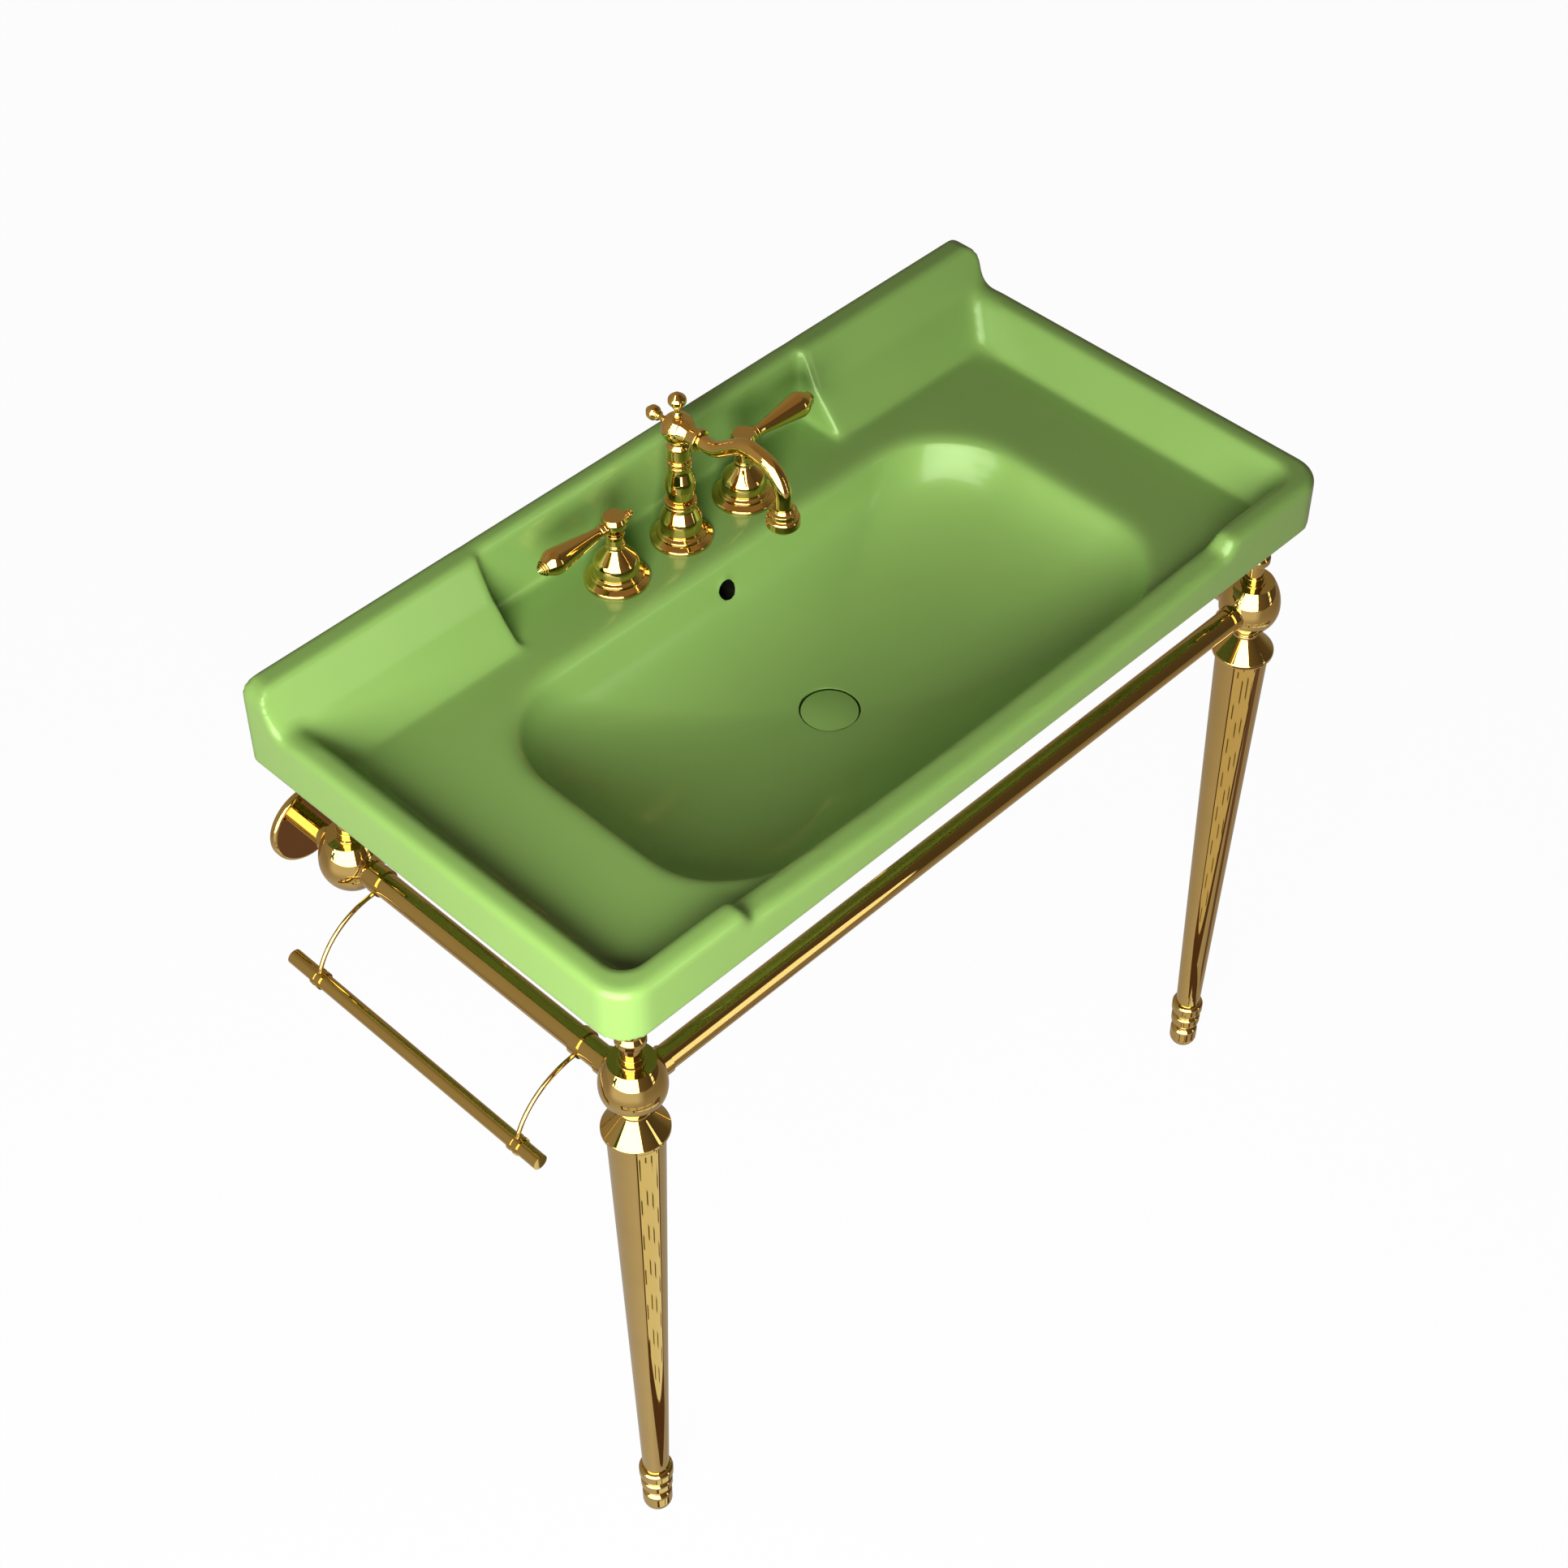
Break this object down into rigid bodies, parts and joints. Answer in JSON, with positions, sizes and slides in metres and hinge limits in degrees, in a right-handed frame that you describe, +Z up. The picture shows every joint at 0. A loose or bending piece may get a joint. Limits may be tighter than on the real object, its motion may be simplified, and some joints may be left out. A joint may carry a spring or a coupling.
{
  "type": "console sink",
  "caption": "Console washbasin in green glazed ceramic with an upstand, on turned brass legs and rails, with a lever faucet, a swivel spout, a drain cap and a towel bar.",
  "frame": {"origin": "midway between the two wall-bolt holes, on the basin's rear face, which is the wall plane", "axes": "+Z up, +Y into the wall, +X to the right of someone facing the wall"},
  "size_m": [1.0506, 0.515, 1.0579],
  "materials": {
    "green_glaze": "satin gloss glaze",
    "polished_brass": "polished",
    "raw_brass": "machined",
    "plain_steel": "zinc plated",
    "black_rubber": "matte"
  },
  "bodies": {
    "sink": {"basin": "green_glaze", "deck_nuts": "raw_brass", "deck_washers": "black_rubber", "frame_studs": "plain_steel", "front_left_ball": "polished_brass", "front_left_post": "polished_brass", "front_rail": "polished_brass", "front_right_ball": "polished_brass", "front_right_post": "polished_brass", "front_towel_arm": "polished_brass", "left_foot": "polished_brass", "left_handle_base": "polished_brass", "left_leg": "polished_brass", "left_leg_cap": "polished_brass", "left_rail": "polished_brass", "left_valve_body": "raw_brass", "left_wall_flange": "polished_brass", "left_wall_tube": "polished_brass", "mixing_pipes": "raw_brass", "post_cups": "polished_brass", "rail_sockets": "polished_brass", "rear_left_ball": "polished_brass", "rear_left_post": "polished_brass", "rear_right_ball": "polished_brass", "rear_right_post": "polished_brass", "rear_towel_arm": "polished_brass", "right_foot": "polished_brass", "right_handle_base": "polished_brass", "right_leg": "polished_brass", "right_leg_cap": "polished_brass", "right_rail": "polished_brass", "right_valve_body": "raw_brass", "right_wall_flange": "polished_brass", "right_wall_tube": "polished_brass", "spout_base": "polished_brass", "spout_column": "polished_brass", "spout_shank": "raw_brass", "support_pads": "black_rubber", "tailpiece": "raw_brass", "towel_bar": "polished_brass", "wall_plates": "plain_steel", "wall_tube_collars": "polished_brass", "waste_body": "raw_brass", "waste_gasket": "black_rubber", "waste_nut": "raw_brass"},
    "left_handle": {"left_valve_stem": "raw_brass", "left_handle_hub": "polished_brass", "left_lever": "polished_brass", "left_lever_button": "polished_brass"},
    "right_handle": {"right_valve_stem": "raw_brass", "right_handle_hub": "polished_brass", "right_lever": "polished_brass", "right_lever_button": "polished_brass"},
    "spout": {"spout_head": "polished_brass", "spout_tube": "polished_brass", "aerator": "polished_brass", "top_finial": "polished_brass", "rear_finial": "polished_brass"},
    "drain_plug": {"drain_cap": "green_glaze", "drain_cap_stem": "raw_brass"}
  },
  "joints": [
    {"name": "left_handle_turn", "type": "hinge", "parent": "sink", "child": "left_handle", "pos_m": [-0.0908, -0.074, 0.1205], "axis": [0, 0, 1], "range_deg": [0, 90]},
    {"name": "right_handle_turn", "type": "hinge", "parent": "sink", "child": "right_handle", "pos_m": [0.0908, -0.074, 0.1205], "axis": [0, 0, 1], "range_deg": [-90, 0]},
    {"name": "spout_swivel", "type": "hinge", "parent": "sink", "child": "spout", "pos_m": [0, -0.074, 0.1885], "axis": [0, 0, 1], "range_deg": [-60, 60]},
    {"name": "drain_cap_lift", "type": "slide", "parent": "sink", "child": "drain_plug", "axis": [0, 0, 1], "range_m": [0, 0.008]}
  ]
}
